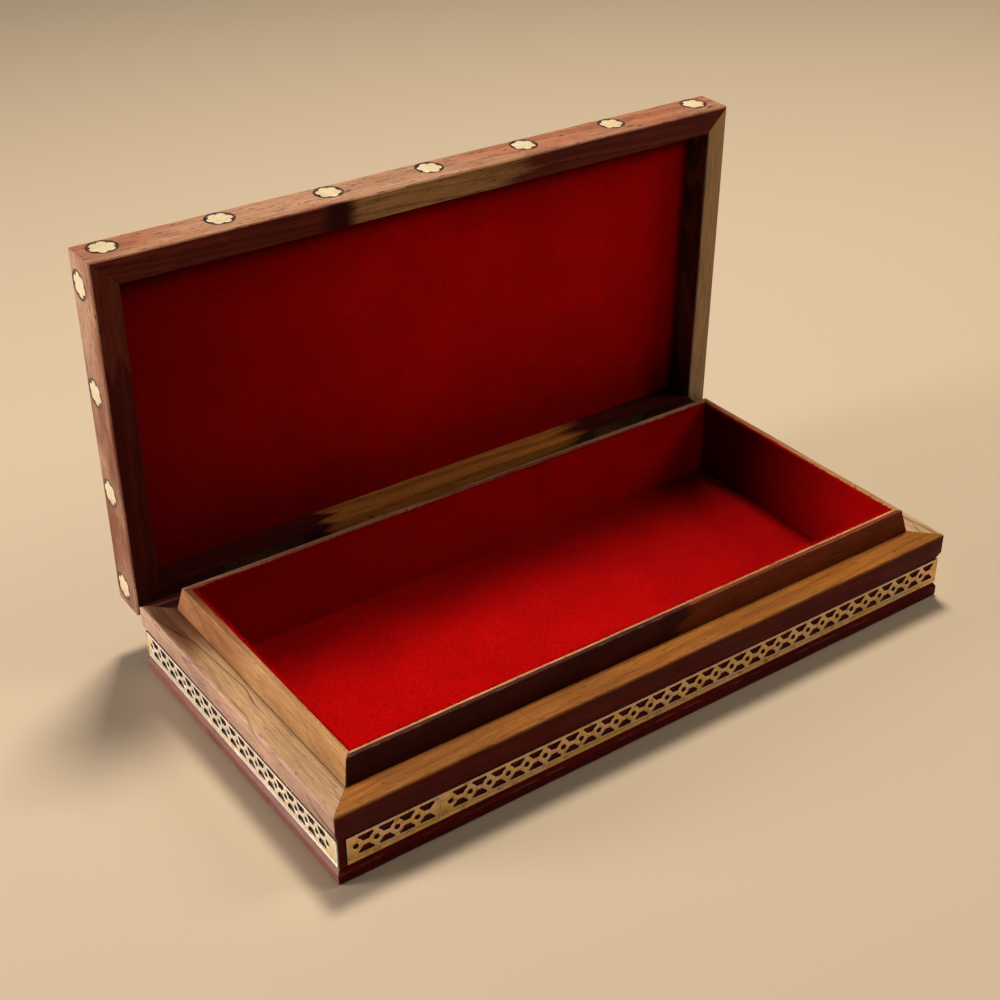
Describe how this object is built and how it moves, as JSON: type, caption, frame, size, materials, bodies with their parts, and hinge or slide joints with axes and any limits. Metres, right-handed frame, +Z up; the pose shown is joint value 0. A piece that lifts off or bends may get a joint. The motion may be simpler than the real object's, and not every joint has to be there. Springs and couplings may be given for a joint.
{
  "type": "inlaid wooden box",
  "caption": "Small hinged hardwood box standing open, with a red felt lining, pierced brass strips let in round its base and bone flowers let into the edges of its lid.",
  "frame": {"origin": "middle of the underside of the base, on the bottom board", "axes": "+X to the box's right along its length, +Y to the back where the lid hinges, +Z up"},
  "size_m": [0.203, 0.1179, 0.1207],
  "materials": {
    "dark_wood": "gloss",
    "light_wood": "gloss",
    "brass": "satin",
    "red_felt": "matte",
    "bone": "satin",
    "lac": "gloss"
  },
  "bodies": {
    "base": {"wall_front": "dark_wood", "wall_back": "dark_wood", "wall_left": "dark_wood", "wall_right": "light_wood", "bottom_board": "light_wood", "lip_front": "dark_wood", "lip_back": "dark_wood", "lip_left": "light_wood", "lip_right": "light_wood", "lattice_front_short": "brass", "lattice_front": "brass", "lattice_back": "brass", "lattice_left": "brass", "lattice_right": "brass", "felt_floor": "red_felt", "felt_front": "red_felt", "felt_back": "red_felt", "felt_left": "red_felt", "felt_right": "red_felt", "hinge_leaf_base_left": "brass", "hinge_leaf_base_right": "brass", "hinge_pin_left": "brass", "hinge_pin_right": "brass", "base_screws": "brass"},
    "lid": {"rail_front": "dark_wood", "rail_back": "dark_wood", "rail_left": "dark_wood", "rail_right": "light_wood", "lid_panel": "dark_wood", "felt_lid": "red_felt", "hinge_leaf_lid_left": "brass", "hinge_leaf_lid_right": "brass", "lid_screws": "brass", "bone_front": "bone", "bone_back": "bone", "bone_left": "bone", "bone_right": "bone", "bone_top": "bone", "lac_front": "lac", "lac_back": "lac", "lac_left": "lac", "lac_right": "lac", "lac_top": "lac", "line_front": "brass", "line_back": "brass", "line_left": "brass", "line_right": "brass"}
  },
  "joints": [
    {"name": "lid_hinge", "type": "hinge", "parent": "base", "child": "lid", "pos_m": [0, 0.0503, 0.01805], "axis": [1, 0, 0], "range_deg": [0, 88.5]}
  ]
}
